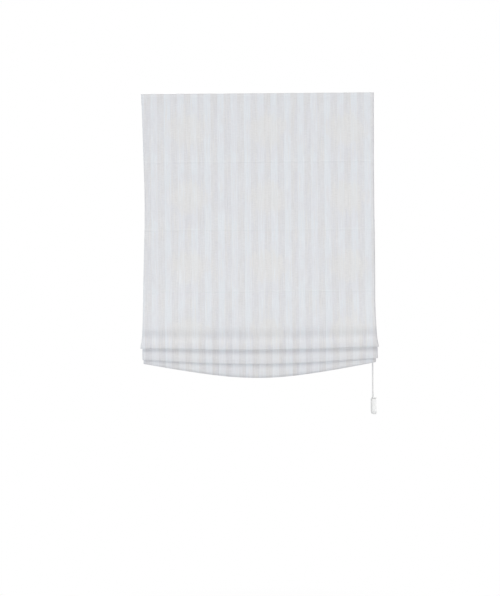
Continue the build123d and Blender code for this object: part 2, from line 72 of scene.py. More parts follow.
# Studio. White surroundings give even, slightly cool light, a broad lamp shines from in front and a
# little below, and a warmer one high above it shades the folds. Lamps behind and at one side keep the
# back and the ends readable. The pale floor lies well below the blind.
def feed(tree, node, inputs):
    """Joins a node's inputs to sockets, or sets them to plain values."""
    for socket, value in inputs.items():
        if isinstance(value, bpy.types.NodeSocket):
            tree.links.new(value, node.inputs[socket])
        else:
            node.inputs[socket].default_value = value


def put(tree, kind, inputs=None, **settings):
    """A new node in a tree, with these settings and inputs."""
    node = tree.nodes.new(kind)
    for setting, value in settings.items():
        setattr(node, setting, value)
    feed(tree, node, inputs or {})
    return node


def maths(tree, operation, *values):
    """The result of a Math node on sockets or plain numbers."""
    return put(tree, "ShaderNodeMath", dict(enumerate(values)), operation=operation).outputs[0]


def ramp(tree, value, ends, to_ends=(0.0, 1.0), kind="SMOOTHSTEP"):
    """A value carried from one range into another, softly at both ends or evenly."""
    ranges = dict(zip(("From Min", "From Max", "To Min", "To Max"), (*ends, *to_ends)))
    carried = put(tree, "ShaderNodeMapRange", {"Value": value, **ranges}, interpolation_type=kind)
    return carried.outputs["Result"]


def seen_rays(tree):
    """One for rays that show the background: straight from the camera, in gloss or through glass."""
    rays = put(tree, "ShaderNodeLightPath").outputs
    either = maths(tree, "MAXIMUM", rays["Is Glossy Ray"], rays["Is Transmission Ray"])
    return maths(tree, "MAXIMUM", rays["Is Camera Ray"], either)


def blended(tree, share, first, second):
    """Two shaders blended by a share."""
    sockets = {"Fac": share, 1: first.outputs[0], 2: second.outputs[0]}
    return put(tree, "ShaderNodeMixShader", sockets).outputs[0]


white = (1.0, 1.0, 1.0)
world = bpy.data.worlds.new("studio")
world.use_nodes = True
scene.world = world
tree = world.node_tree
tree.nodes.clear()
room_light = put(tree, "ShaderNodeBackground", {"Color": (0.92, 0.975, 1.06, 1.0), "Strength": 0.26})
white_surround = put(tree, "ShaderNodeBackground", {"Color": (*white, 1.0), "Strength": 1.0})
surround = blended(tree, seen_rays(tree), room_light, white_surround)
put(tree, "ShaderNodeOutputWorld", {"Surface": surround})

for name, strength, colour, spread, turn in (
    ("front_lamp", 1.43, white, 50.0, (102.0, 0.0, -8.0)),
    ("high_lamp", 1.46, (1.0, 0.975, 0.93), 40.0, (30.0, 0.0, -8.0)),
    ("back_lamp", 1.60, white, 50.0, (75.0, 0.0, 165.0)),
    ("side_lamp", 0.50, white, 30.0, (88.0, 0.0, 110.0)),
):
    lamp_data = bpy.data.lights.new(name, "SUN")
    lamp_data.energy = strength
    lamp_data.color = colour
    lamp_data.angle = math.radians(spread)
    put_in_scene(name, lamp_data).rotation_euler = [math.radians(a) for a in turn]

floor_level, floor_radius, rim_points = -2.10, 2.4, 96
fade_start, fade_end = 0.4, floor_radius * 0.95
floor_mesh = bpy.data.meshes.new("floor")
angles = np.linspace(0.0, 2.0 * math.pi, rim_points, endpoint=False)
rim = [(floor_radius * math.cos(a), floor_radius * math.sin(a), floor_level) for a in angles]
floor_mesh.from_pydata(rim, [], [list(range(rim_points))])
floor = put_in_scene("floor", floor_mesh)
floor_paint = bpy.data.materials.new("floor_paint")
floor_paint.use_nodes = True
tree = floor_paint.node_tree
tree.nodes.clear()
place = put(tree, "ShaderNodeTexCoord").outputs["Object"]
flat_place = put(tree, "ShaderNodeVectorMath", {0: place, 1: (1.0, 1.0, 0.0)}, operation="MULTIPLY")
from_middle = put(tree, "ShaderNodeVectorMath", {0: flat_place.outputs[0]}, operation="LENGTH")
fade = ramp(tree, from_middle.outputs["Value"], (fade_start, fade_end))
paint = put(tree, "ShaderNodeBsdfDiffuse", {"Color": (0.90, 0.90, 0.90, 1.0)})
glow = put(tree, "ShaderNodeEmission")
floor_look = blended(tree, maths(tree, "MULTIPLY", fade, seen_rays(tree)), paint, glow)
put(tree, "ShaderNodeOutputMaterial", {"Surface": floor_look})
floor_mesh.materials.append(floor_paint)

# Headrail: a drawn aluminium channel with a baked white coating. The clutch and the end cap plug
# into its ends, and it snaps into the brackets by its lips.
def new_finish(name):
    """A material with an empty Principled shader, its tree and that shader."""
    finish = bpy.data.materials.new(name)
    finish.use_nodes = True
    return finish, finish.node_tree, finish.node_tree.nodes["Principled BSDF"]


def give_finish(finish, *node_names):
    """Puts a material on carried-over pieces of the frame."""
    for node_name in node_names:
        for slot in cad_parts[node_name].material_slots:
            slot.material = finish


def new_group(name, kind, inputs, outputs):
    """An empty node group with these named inputs and outputs, and the sockets of its inputs."""
    group = bpy.data.node_groups.new(name, kind)
    for in_out, sockets in (("INPUT", inputs), ("OUTPUT", outputs)):
        for socket, socket_kind in sockets.items():
            group.interface.new_socket(socket, in_out=in_out, socket_type="NodeSocket" + socket_kind)
    return group, put(group, "NodeGroupInput").outputs


def toned(tree, colour, level):
    """A colour made lighter or darker by a level."""
    return put(tree, "ShaderNodeVectorMath", {0: colour, "Scale": level}, operation="SCALE").outputs[0]


def raised(tree, height, strength, depth):
    """The normals of a surface with this relief on it."""
    return put(tree, "ShaderNodeBump", {"Strength": strength, "Distance": depth, "Height": height}).outputs[0]


def surface_finish(name, group, values, strength, depth, constants=None):
    """A material with a surface group's colour, roughness and relief, and constants on its shader."""
    finish, tree, shader = new_finish(name)
    made = put(tree, "ShaderNodeGroup", values, node_tree=group).outputs
    normal = raised(tree, made["Height"], strength, depth)
    feed(tree, shader, {"Base Color": made["Color"], "Roughness": made["Roughness"], "Normal": normal})
    feed(tree, shader, constants or {})
    return finish


surface = {"Color": "Color", "Roughness": "Float", "Height": "Float"}
grain, given = new_group(
    "moulded_grain", "ShaderNodeTree",
    {"Scale": "Float", "Tone": "Float", "Base Tone": "Color", "Roughness Level": "Float"}, surface,
)
cloud_scale, roughness_swing = 38.0, 0.16
place = put(grain, "ShaderNodeTexCoord").outputs["Object"]
fine, cloud = [
    put(grain, "ShaderNodeTexNoise", {"Vector": place, "Scale": scale, "Detail": detail}).outputs["Fac"]
    for scale, detail in ((given["Scale"], 3.0), (cloud_scale, 4.0))
]
swing = maths(grain, "MULTIPLY_ADD", maths(grain, "SUBTRACT", cloud, 0.5), given["Tone"], 1.0)
put(grain, "NodeGroupOutput", {
    "Color": toned(grain, given["Base Tone"], swing),
    "Roughness": maths(grain, "MULTIPLY_ADD", fine, roughness_swing, given["Roughness Level"]),
    "Height": fine,
})


def grained_finish(name, colour, roughness, scale, tone, relief):
    """A coated or moulded surface with a fine grain."""
    values = {"Scale": scale, "Tone": tone, "Base Tone": (*colour, 1.0), "Roughness Level": roughness}
    return surface_finish(name, grain, values, strength=relief, depth=0.0002)


rail_coating = grained_finish(
    "rail_coating", (0.86, 0.86, 0.85), roughness=0.30, scale=420.0, tone=0.03, relief=0.12,
)
give_finish(rail_coating, "headrail")

# Brackets: spring steel strip, stamped with two screw holes and plated with bright zinc. They are
# screwed up from below, and then the rail is snapped into them.
drawn, given = new_group("drawn_lines", "ShaderNodeTree", {"Stretch": "Vector", "Base Tone": "Color"}, surface)
spangle_scale = 160.0
place = put(drawn, "ShaderNodeTexCoord").outputs["Object"]
stretched = put(drawn, "ShaderNodeVectorMath", {0: place, 1: given["Stretch"]}, operation="MULTIPLY").outputs[0]
lines = put(drawn, "ShaderNodeTexNoise", {"Vector": stretched, "Scale": 1.0, "Detail": 5.0}).outputs["Fac"]
spangle = put(drawn, "ShaderNodeTexVoronoi", {"Vector": place, "Scale": spangle_scale}).outputs["Distance"]
put(drawn, "NodeGroupOutput", {
    "Color": toned(drawn, given["Base Tone"], ramp(drawn, lines, (0.0, 1.0), (0.86, 1.08), "LINEAR")),
    "Roughness": ramp(drawn, spangle, (0.0, 1.0), (0.24, 0.42), "LINEAR"),
    "Height": lines,
})


def drawn_finish(name, colour, stretch):
    """Bare or plated steel with the fine lines of drawing or rolling."""
    values = {"Stretch": stretch, "Base Tone": (*colour, 1.0)}
    return surface_finish(name, drawn, values, strength=0.10, depth=0.0001, constants={"Metallic": 1.0})


bright_zinc = drawn_finish("bright_zinc", (0.62, 0.63, 0.64), stretch=(60.0, 1800.0, 1800.0))
give_finish(bright_zinc, "mounting_bracket_left", "mounting_bracket_right", "brake_spring")

# Drive: a square drawn steel shaft runs through the spools into the cord wheel's hub and turns in
# a bush at its idle end. Caps, clutch and cradles are moulded white, what turns is moulded grey.
drawn_steel = drawn_finish("drawn_steel", (0.66, 0.66, 0.67), stretch=(40.0, 2600.0, 2600.0))
give_finish(drawn_steel, "drive_shaft", "tensioner_axle")
white_moulding = grained_finish(
    "white_moulding", (0.87, 0.87, 0.86), roughness=0.36, scale=1500.0, tone=0.03, relief=0.10,
)
give_finish(white_moulding, "idle_end_cap", "clutch_housing", "clutch_cover")
give_finish(white_moulding, "spool_cradle_left", "spool_cradle_right")
grey_moulding = grained_finish(
    "grey_moulding", (0.64, 0.65, 0.66), roughness=0.32, scale=1500.0, tone=0.04, relief=0.10,
)
give_finish(grey_moulding, "idle_bush", "spool_left", "spool_right", "cord_wheel")

# Lift cords: thin braided polyester. Each runs from its spool down through the rings and the rod's
# eye to the stop under it, and several turns of it lie on the spool.
def float_mixed(tree, share, first, second):
    """Two numbers mixed by a share."""
    return put(tree, "ShaderNodeMix", {"Factor": share, 2: first, 3: second}, data_type="FLOAT").outputs[0]


def rounded(tree, turn):
    """The height of round strands side by side, one for each half turn."""
    return maths(tree, "ABSOLUTE", maths(tree, "SINE", turn))


braid, given = new_group(
    "braid", "ShaderNodeTree", {"Around": "Float", "Along": "Float", "Base Tone": "Color"}, surface,
)
uv = put(braid, "ShaderNodeUVMap", uv_map="UVMap").outputs["UV"]
split = put(braid, "ShaderNodeSeparateXYZ", {0: uv}).outputs
around = maths(braid, "MULTIPLY", split["X"], given["Around"])
along = maths(braid, "MULTIPLY", split["Y"], given["Along"])
left_strand = rounded(braid, maths(braid, "ADD", around, along))
right_strand = rounded(braid, maths(braid, "SUBTRACT", around, along))
over = maths(braid, "GREATER_THAN", maths(braid, "SINE", maths(braid, "MULTIPLY", around, 2.0)), 0.0)
strand = float_mixed(braid, over, left_strand, right_strand)
# The colour follows the strand height: darker in the grooves between strands, which is painted shade, and a
# touch lighter on the strand tops, which is a painted highlight.
put(braid, "NodeGroupOutput", {
    "Color": toned(braid, given["Base Tone"], ramp(braid, strand, (0.0, 1.0), (0.84, 1.03), "LINEAR")),
    "Roughness": ramp(braid, strand, (0.0, 1.0), (0.80, 0.60), "LINEAR"),
    "Height": strand,
})


def braided_finish(name, colour, strands, lay_length):
    """Braided cord: strands counts the crossings round it, lay_length is one crossing along it."""
    values = {"Around": math.pi * strands, "Along": math.pi / lay_length, "Base Tone": (*colour, 1.0)}
    return surface_finish(name, braid, values, strength=0.5, depth=0.0002)


def plain_mesh(maker, name):
    """The mesh that a curve or a piece with modifiers comes to; what made it is removed."""
    bpy.context.view_layer.update()
    mesh = bpy.data.meshes.new_from_object(maker.evaluated_get(bpy.context.evaluated_depsgraph_get()))
    maker.modifiers.clear()
    bpy.data.objects.remove(maker)
    mesh.name = name
    return mesh


def cord_line(name, points, resolution):
    """Smooth line through a cord's route, read from a spline with those control points."""
    route = bpy.data.curves.new(name, "CURVE")
    route.dimensions = "3D"
    spline = route.splines.new("NURBS")
    spline.points.add(len(points) - 1)
    for control, place in zip(spline.points, points):
        control.co = (*place, 1.0)
    spline.order_u = 3
    spline.use_endpoint_u = True
    spline.resolution_u = resolution
    return np.array([v.co for v in plain_mesh(put_in_scene(name, route), name).vertices])


def run_along(points):
    """How far along their line each of these points lies."""
    return np.concatenate(([0.0], np.cumsum(np.linalg.norm(np.diff(points, axis=0), axis=1))))


def mapped_mesh(name, places, faces, maps, flat_ends=0):
    """A smooth mesh with a map on it, whose last faces may be flat ends."""
    mesh = bpy.data.meshes.new(name)
    mesh.from_pydata([tuple(p) for p in places], [], faces)
    mesh.uv_layers.new(name="UVMap").data.foreach_set("uv", np.array(maps, np.float32).ravel())
    mesh.polygons.foreach_set("use_smooth", [True] * (len(faces) - flat_ends) + [False] * flat_ends)
    return mesh


def cord_tube(name, line, radius, sides, finish):
    """A round cord along a line, with a map that runs round it and along it."""
    along = np.gradient(line, axis=0)
    along /= np.linalg.norm(along, axis=1)[:, None]
    side = np.array((1.0, 0.0, 0.0))
    turns = np.linspace(0.0, 2.0 * math.pi, sides, endpoint=False)
    places = []
    for point, direction in zip(line, along):
        side = side - direction * (side @ direction)
        side /= np.linalg.norm(side)
        up = np.cross(direction, side)
        places += [point + radius * (math.cos(turn) * side + math.sin(turn) * up) for turn in turns]
    runs = run_along(line)
    faces, maps = [], []
    for row in range(len(line) - 1):
        here, beyond = row * sides, (row + 1) * sides
        for step in range(sides):
            after = (step + 1) % sides
            faces.append((here + step, here + after, beyond + after, beyond + step))
            low, high = step / sides, (step + 1) / sides
            maps += [(low, runs[row]), (high, runs[row]), (high, runs[row + 1]), (low, runs[row + 1])]
    first, last = list(range(sides))[::-1], [(len(line) - 1) * sides + step for step in range(sides)]
    for cap, run in ((first, runs[0]), (last, runs[-1])):
        faces.append(cap)
        maps += [(0.0, run)] * sides
    mesh = mapped_mesh(name, places, faces, maps, flat_ends=2)
    mesh.materials.append(finish)
    return put_in_scene(name, mesh)


lift_x, lift_y, lift_radius = 0.330, -0.0126, 0.0007
cord_white = (0.86, 0.86, 0.85)
lift_braid = braided_finish("lift_cord_braid", cord_white, strands=4, lay_length=0.0012)
for side, name in ((-1, "left"), (1, "right")):
    cad_low, cad_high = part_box(f"lift_cord_{name}")
    levels = (cad_high.z, -0.10, -0.25, -0.45, -0.65, cad_low.z)
    line = cord_line(f"lift_line_{name}", [(side * lift_x, lift_y, z) for z in levels], resolution=24)
    lift_cord = cord_tube(f"lift_cord_braided_{name}", line, lift_radius, sides=12, finish=lift_braid)
    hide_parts(f"lift_cord_{name}")
    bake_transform(lift_cord)


def new_tree(name, inputs):
    """An empty Geometry Nodes tree with these named inputs and a material's, and their sockets."""
    inputs = {**inputs, "Finish": "Material"}
    tree, given = new_group(name, "GeometryNodeTree", inputs, {"Geometry": "Geometry"})
    tree.is_modifier = True
    return tree, given


def end_tree(tree, given, geometry):
    """Ends a tree: its instances become real, and take their material."""
    real = put(tree, "GeometryNodeRealizeInstances", {0: geometry}).outputs[0]
    dressed = put(tree, "GeometryNodeSetMaterial", {"Geometry": real, "Material": given["Finish"]})
    put(tree, "NodeGroupOutput", {0: dressed.outputs[0]})


def kept_on(tree, curve, name, value):
    """A curve that keeps a value along it for the mesh that it becomes, and that value."""
    keeper = put(tree, "GeometryNodeCaptureAttribute")
    keeper.capture_items.new("FLOAT", name)
    feed(tree, keeper, {"Geometry": curve, name: value})
    return keeper.outputs["Geometry"], keeper.outputs[name]


def circle(tree, resolution, radius):
    """A round curve."""
    sizes = {"Resolution": resolution, "Radius": radius}
    return put(tree, "GeometryNodeCurvePrimitiveCircle", sizes).outputs[0]


winding, given = new_tree("cord_winding", {
    "Turns": "Float", "Barrel Radius": "Float", "Length": "Float", "Cord Radius": "Float", "Start": "Vector",
})
spiral = put(winding, "GeometryNodeCurveSpiral", {
    "Resolution": 28, "Rotations": given["Turns"], "Height": given["Length"],
    "Start Radius": given["Barrel Radius"], "End Radius": given["Barrel Radius"],
}).outputs[0]
section = circle(winding, resolution=8, radius=given["Cord Radius"])
along, around = [put(winding, "GeometryNodeSplineParameter").outputs[kind] for kind in ("Length", "Factor")]
spiral, run = kept_on(winding, spiral, "Run", along)
section, share = kept_on(winding, section, "Share", around)
turns = put(
    winding, "GeometryNodeCurveToMesh", {"Curve": spiral, "Profile Curve": section, "Fill Caps": True},
).outputs[0]
map_place = put(winding, "ShaderNodeCombineXYZ", {"X": share, "Y": run}).outputs[0]
mapped = put(
    winding, "GeometryNodeStoreNamedAttribute", {"Geometry": turns, "Name": "UVMap", "Value": map_place},
    data_type="FLOAT2", domain="CORNER",
).outputs[0]
settled = put(winding, "GeometryNodeTransform", {
    "Geometry": mapped, "Translation": given["Start"], "Rotation": (0.0, math.radians(-90.0), 0.0),
}).outputs[0]
end_tree(winding, given, settled)


def from_tree(name, tree, inputs, base=None):
    """Runs a Geometry Nodes tree with these inputs and keeps the result as a plain mesh piece."""
    maker = put_in_scene(name + "_maker", base or bpy.data.meshes.new(name + "_base"))
    modifier = maker.modifiers.new("tree", "NODES")
    modifier.node_group = tree
    for item in tree.interface.items_tree:
        if item.in_out == "INPUT" and item.name in inputs:
            modifier[item.identifier] = inputs[item.name]
    mesh = plain_mesh(maker, name)
    mesh.polygons.foreach_set("use_smooth", [True] * len(mesh.polygons))
    return put_in_scene(name, mesh)


shaft_y, shaft_z = -0.0026, -0.0166
first_turn_in = 0.0008
for side, name in ((-1, "left"), (1, "right")):
    wound = from_tree(f"wound_cord_{name}", winding, {
        "Turns": 9.0, "Barrel Radius": 0.0099, "Length": 0.0135, "Cord Radius": lift_radius,
        "Start": (side * lift_x + first_turn_in, shaft_y, shaft_z), "Finish": lift_braid,
    })
    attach(wound, "drive")

# Touch tapes: the hook half is stuck along the rail's front, the loop half is sewn to the back of
# the cloth's top edge, so that the cloth peels off for washing.
def mixed(tree, share, first, second):
    """Two colours mixed by a share."""
    first, second = [c if isinstance(c, bpy.types.NodeSocket) else (*c, 1.0) for c in (first, second)]
    return put(tree, "ShaderNodeMix", {"Factor": share, 6: first, 7: second}, data_type="RGBA").outputs[2]


weave, given = new_group(
    "thread_weave", "ShaderNodeTree",
    {"Place": "Vector", "Across Pitch": "Float", "Along Pitch": "Float"}, {"Height": "Float"},
)
split = put(weave, "ShaderNodeSeparateXYZ", {0: given["Place"]}).outputs
warp = maths(weave, "DIVIDE", split["X"], given["Across Pitch"])
weft = maths(weave, "DIVIDE", split["Y"], given["Along Pitch"])
warp_round, weft_round = [rounded(weave, maths(weave, "MULTIPLY", way, math.pi)) for way in (warp, weft)]
cell = maths(weave, "ADD", maths(weave, "FLOOR", warp), maths(weave, "FLOOR", weft))
over = maths(weave, "PINGPONG", cell, 1.0)
put(weave, "NodeGroupOutput", {"Height": float_mixed(weave, over, weft_round, warp_round)})


def woven(tree, place, across_pitch, along_pitch):
    """The height of a plain weave with threads at these pitches."""
    values = {"Place": place, "Across Pitch": across_pitch, "Along Pitch": along_pitch}
    return put(tree, "ShaderNodeGroup", values, node_tree=weave).outputs["Height"]


tape_weave, tree, shader = new_finish("tape_weave")
place = put(tree, "ShaderNodeTexCoord").outputs["Object"]
laid = put(tree, "ShaderNodeMapping", {"Vector": place, "Rotation": (math.radians(-90.0), 0.0, 0.0)}).outputs[0]
height = woven(tree, laid, across_pitch=0.0009, along_pitch=0.0007)
# The darker colour between the threads is painted shade in the gaps of the weave; the thread tops keep the
# tape's white.
shade_between_threads, on_threads = (0.74, 0.74, 0.73), (0.87, 0.87, 0.86)
feed(tree, shader, {
    "Base Color": mixed(tree, height, shade_between_threads, on_threads), "Roughness": 0.85,
    "Normal": raised(tree, height, strength=0.6, depth=0.0003),
})
give_finish(tape_weave, "hook_tape", "loop_tape")

# Shade cloth: one length of slub linen with soft printed stripes, hemmed at its sides and its
# bottom. It hangs from the tape, and its lower part lies in folds that sag between the lift cords.
hang_y, front_y = -0.0192, -0.0448
layer_pitch, turn_height = 0.0021, 0.0036
layer = [hang_y - layer_pitch * n for n in range(6)]
ring_levels = (-0.221, -0.439, -0.637)
sag_width = 0.52


def sag_at(share):
    """Share of the full sag at a share of the half width: one in the middle, none at the sides."""
    fall, full_fall = [math.sqrt(1.0 + (s / sag_width) ** 2) - 1.0 for s in (share, 1.0)]
    return 1.0 - fall / full_fall


def fold_corners(sag, belly):
    """Corners of the cloth's side view from the rail to the hem, in depth and height; belly is how
    fully the panel bows forward between the rings. Each line of the table gives a depth, a height
    at the cloth's sides and how much lower the middle sags."""
    first_bottom, second_bottom, hidden_bottom = (-0.816, 0.0075), (-0.8525, 0.0165), (-0.836, 0.014)
    (top_1, fall_1), (top_2, fall_2), (top_3, fall_3) = (-0.744, 0.010), (-0.7512, 0.018), (-0.7584, 0.026)
    table = (
        (hang_y, -0.001, 0.0),
        (hang_y, -0.640 + 0.150 * belly, 0.0),
        (front_y, -0.754, 0.004),
        (front_y + 0.0116, -0.780, 0.006),
        (front_y + 0.0048, -0.801, 0.007),
        (front_y + 0.0060, *first_bottom),
        (layer[5], *first_bottom),
        (layer[5], top_1, fall_1),
        (hang_y, top_1, fall_1),
        (hang_y, top_1 - turn_height, fall_1),
        (layer[4], top_1 - turn_height, fall_1),
        (layer[4], -0.818, 0.009),
        (layer[4] - 0.0056, -0.839, 0.014),
        (layer[4] - 0.0036, *second_bottom),
        (layer[3], *second_bottom),
        (layer[3], top_2, fall_2),
        (hang_y, top_2, fall_2),
        (hang_y, top_2 - turn_height, fall_2),
        (layer[2], top_2 - turn_height, fall_2),
        (layer[2], *hidden_bottom),
        (layer[1], *hidden_bottom),
        (layer[1], top_3, fall_3),
        (hang_y, top_3, fall_3),
        (hang_y - 0.0005, -0.837, 0.0155),
        (hang_y - 0.0046, -0.8495, 0.0170),
        (hang_y - 0.0068, -0.8575, 0.036),
        (hang_y - 0.0045, -0.866, 0.048),
    )
    return np.array([(depth, height - fall * sag) for depth, height, fall in table])


panel_step, fold_step = 0.008, 0.0055
bend_degrees, bend_step, bend_rows = 13.0, 0.0022, 5
corner_share = 0.45


def fold_line(sag, belly, counts=None):
    """The side view with its corners rounded, as rows of depth and height, and its counts of rows."""
    corners = fold_corners(sag, belly)
    runs = np.diff(corners, axis=0)
    lengths = np.linalg.norm(runs, axis=1)
    ways = runs / lengths[:, None]
    reach = [0.0, *[corner_share * min(a, b) for a, b in zip(lengths, lengths[1:])], 0.0]
    chosen, rows = [], [corners[0]]
    for n, way in enumerate(ways):
        start = corners[n] + way * reach[n]
        end = corners[n + 1] - way * reach[n + 1]
        step = fold_step if n else panel_step
        steps = counts[n][0] if counts else max(1, int(np.linalg.norm(end - start) / step))
        rows += [start + (end - start) * (k + 1) / steps for k in range(steps)]
        turned = 0
        if n + 1 < len(ways):
            next_way = ways[n + 1]
            turn = math.acos(np.clip(way @ next_way, -1.0, 1.0))
            by_angle, by_length = int(math.degrees(turn) / bend_degrees), int(reach[n + 1] / bend_step)
            turned = counts[n][1] if counts else max(bend_rows, by_angle, by_length)
            radius = reach[n + 1] / math.tan(turn / 2.0)
            lean = 1.0 if way[0] * next_way[1] - way[1] * next_way[0] > 0 else -1.0
            centre = end + lean * np.array((-way[1], way[0])) * radius
            arm = end - centre
            for k in range(turned):
                angle = lean * turn * (k + 1) / turned
                cosine, sine = math.cos(angle), math.sin(angle)
                swung = (arm[0] * cosine - arm[1] * sine, arm[0] * sine + arm[1] * cosine)
                rows.append(centre + np.array(swung))
        chosen.append((steps, turned))
    return np.array(rows), chosen


ridge_offsets = np.array((0.6, 1.2, 1.8, 2.6, 3.6, 5.0, 8.0)) / 1000.0
ridge_offsets = np.concatenate((-ridge_offsets, [0.0], ridge_offsets))
panel_top, panel_bottom, panel_pitch, lead_rows = 0.001, 0.655, 0.010, 8
panel_levels = [
    z for z in -np.arange(panel_top, panel_bottom, panel_pitch)
    if min(abs(z - level) for level in ring_levels) > panel_pitch
]
panel_levels = np.sort(np.concatenate((panel_levels, *[level + ridge_offsets for level in ring_levels])))[::-1]


def panel_spaced(rows, last):
    """The side view with the panel's rows, down to a last one, set at levels that are close at the rings."""
    heights = np.concatenate((panel_levels, np.linspace(panel_levels[-1], rows[last, 1], lead_rows + 1)[1:]))
    depths = np.interp(-heights, -rows[:last + 1, 1], rows[:last + 1, 0])
    return np.concatenate((np.stack((depths, heights), axis=1), rows[last + 1:]))


middle_rows, row_counts = fold_line(sag=0.5, belly=0.5)
corner_row = np.cumsum([0] + [steps + turned for steps, turned in row_counts])
panel_last = corner_row[1] + row_counts[1][0]
corner_row = corner_row - len(middle_rows)
middle_rows = panel_spaced(middle_rows, panel_last)
row_total = len(middle_rows)
corner_row = corner_row + row_total
row_run = run_along(middle_rows)
first_bottom_row = corner_row[5]
above_folds = np.arange(row_total) < first_bottom_row

# The cloth's two sides, as read in millimetres down the panel, then narrower in each lower fold.
side_drops = np.array((0.0, 0.150, 0.266, 0.382, 0.497, 0.613, 0.728, 0.767, 0.812))
lowest_drop, side_bends = 0.818, 6
left_reach = (374.7, 369.3, 366.4, 364.8, 368.0, 371.3, 371.9, 374.6, 379.2)
right_reach = (373.1, 371.9, 371.4, 371.6, 372.6, 372.5, 371.7, 374.3, 379.4)
fold_rows = corner_row[[5, 7, 10, 11, 13, 15, 18, 23, 26]]
left_folds = (371.0, 371.0, 375.2, 374.8, 370.5, 370.5, 372.2, 372.0)
right_folds = (371.0, 371.0, 378.0, 377.5, 370.5, 370.5, 372.5, 372.0)


def side_reach(readings, folds):
    """Half width of the cloth at each row, from readings down the panel and then in each lower fold."""
    curve = np.polyfit(side_drops, np.array(readings) / 1000.0, side_bends)
    reach = np.polyval(curve, np.clip(-middle_rows[:, 1], 0.0, lowest_drop))
    lower = np.interp(row_run, row_run[fold_rows], (reach[first_bottom_row], *(np.array(folds) / 1000.0)))
    return np.where(above_folds, reach, lower)


side_hem, hem_step, bottom_hem = 0.090, 0.0025, 0.045
hem_edges = np.array((1.0 - side_hem, 1.0 - side_hem - hem_step))
even_columns = np.linspace(-1.0, 1.0, 139)
shares = np.sort(np.concatenate((even_columns, -hem_edges, hem_edges)))
column_total = len(shares)
left_side, right_side = side_reach(left_reach, left_folds), side_reach(right_reach, right_folds)
belly_edge, belly_fade = 0.45, 0.40
uneven_depth, valley_z, valley_height = 0.00022, -0.772, 0.022
flat_top, flat_fade, fold_fade_rows = -0.04, 0.10, 18.0
ridge_depth, ridge_height = 0.0006, 0.0022
wave_total, full_turn = 9, 6.28
rng = np.random.default_rng(7)
waves = [
    (rng.uniform(3.0, 11.0), rng.uniform(0.0, full_turn), rng.uniform(2.0, 9.0), rng.uniform(0.0, full_turn))
    for _ in range(wave_total)
]
grid = np.zeros((column_total, row_total, 3))
flat_map = np.zeros((column_total, row_total, 2))
for column, share in enumerate(shares):
    from_belly = min(1.0, max(0.0, (abs(share) - belly_edge) / belly_fade))
    belly = 0.5 + 0.5 * math.cos(math.pi * from_belly)
    rows = panel_spaced(fold_line(sag_at(share), belly, row_counts)[0], panel_last)
    depth, height = rows.T
    run = run_along(rows)
    uneven = sum(
        np.sin(across * share * math.pi + across_start) * np.sin(down * run * 2.0 * math.pi + down_start)
        for across, across_start, down, down_start in waves
    )
    below_rail = np.clip((flat_top - height) / flat_fade, 0.0, 1.0)
    before_fold = np.clip((first_bottom_row - np.arange(row_total)) / fold_fade_rows, 0.0, 1.0)
    in_valley = np.exp(-(((height - valley_z) / valley_height) ** 2))
    depth = depth + below_rail * before_fold * uneven * uneven_depth * (1.0 + in_valley)
    for level in ring_levels:
        depth -= above_folds * ridge_depth * np.exp(-(((height - level) / ridge_height) ** 2))
    width = share * (left_side if share < 0.0 else right_side)
    grid[column] = np.stack((width, depth, height), axis=1)
    flat_map[column] = np.stack((width, run), axis=1)

faces, maps = [], []
for column in range(column_total - 1):
    for row in range(row_total - 1):
        ring = ((column, row), (column, row + 1), (column + 1, row + 1), (column + 1, row))
        faces.append([c * row_total + r for c, r in ring])
        maps += [flat_map[c, r] for c, r in ring]
cloth_mesh = mapped_mesh("cloth_layer", grid.reshape(-1, 3), faces, maps)

stripe_period, stripe_start = 0.0428, -0.0125
repeat_width, repeat_length = 6.0 * stripe_period, 0.218
wash_across, wash_down = 0.0286, 0.118
thread_across, thread_along = 0.00075, 0.00085
linen, given = new_group("printed_linen_and_fold_shade", "ShaderNodeTree", {"Show": "Float"}, surface)
show = given["Show"]
uv = put(linen, "ShaderNodeUVMap", uv_map="UVMap").outputs["UV"]
split = put(linen, "ShaderNodeSeparateXYZ", {0: uv}).outputs
down_cloth = split["Y"]


def times(first, *others):
    """Sockets and numbers multiplied in the linen's group."""
    for other in others:
        first = maths(linen, "MULTIPLY", first, other)
    return first


def plus(first, *others):
    """Sockets and numbers added in the linen's group."""
    for other in others:
        first = maths(linen, "ADD", first, other)
    return first


def linen_noise(across, down, detail, roughness=0.5):
    """Noise on the cloth's map, with this many lobes to a metre across it and down it."""
    place = put(linen, "ShaderNodeVectorMath", {0: uv, 1: (across, down, 1.0)}, operation="MULTIPLY").outputs[0]
    values = {"Vector": place, "Scale": 1.0, "Detail": detail, "Roughness": roughness}
    return put(linen, "ShaderNodeTexNoise", values).outputs["Fac"]


across_turn = times(split["X"], 2.0 * math.pi / repeat_width)
down_turn = times(down_cloth, 2.0 * math.pi / repeat_length)


def repeating(across, down, start, detail):
    """Noise that comes round with the print's repeat, with this many lobes across and down it."""
    wide, tall = across / (2.0 * math.pi), down / (2.0 * math.pi)
    ways = [
        times(maths(linen, kind, turn), size)
        for turn, size in ((across_turn, wide), (down_turn, tall)) for kind in ("COSINE", "SINE")
    ]
    place = put(linen, "ShaderNodeCombineXYZ", {"X": plus(ways[0], start), "Y": ways[1], "Z": ways[2]})
    values = {"Vector": place.outputs[0], "W": ways[3], "Scale": 1.0, "Detail": detail}
    return put(linen, "ShaderNodeTexNoise", values, noise_dimensions="4D").outputs["Fac"]


def near(turn, middle, repeat):
    """One at a place in the print's repeat, minus one half a repeat away."""
    return maths(linen, "COSINE", plus(turn, -2.0 * math.pi * middle / repeat))


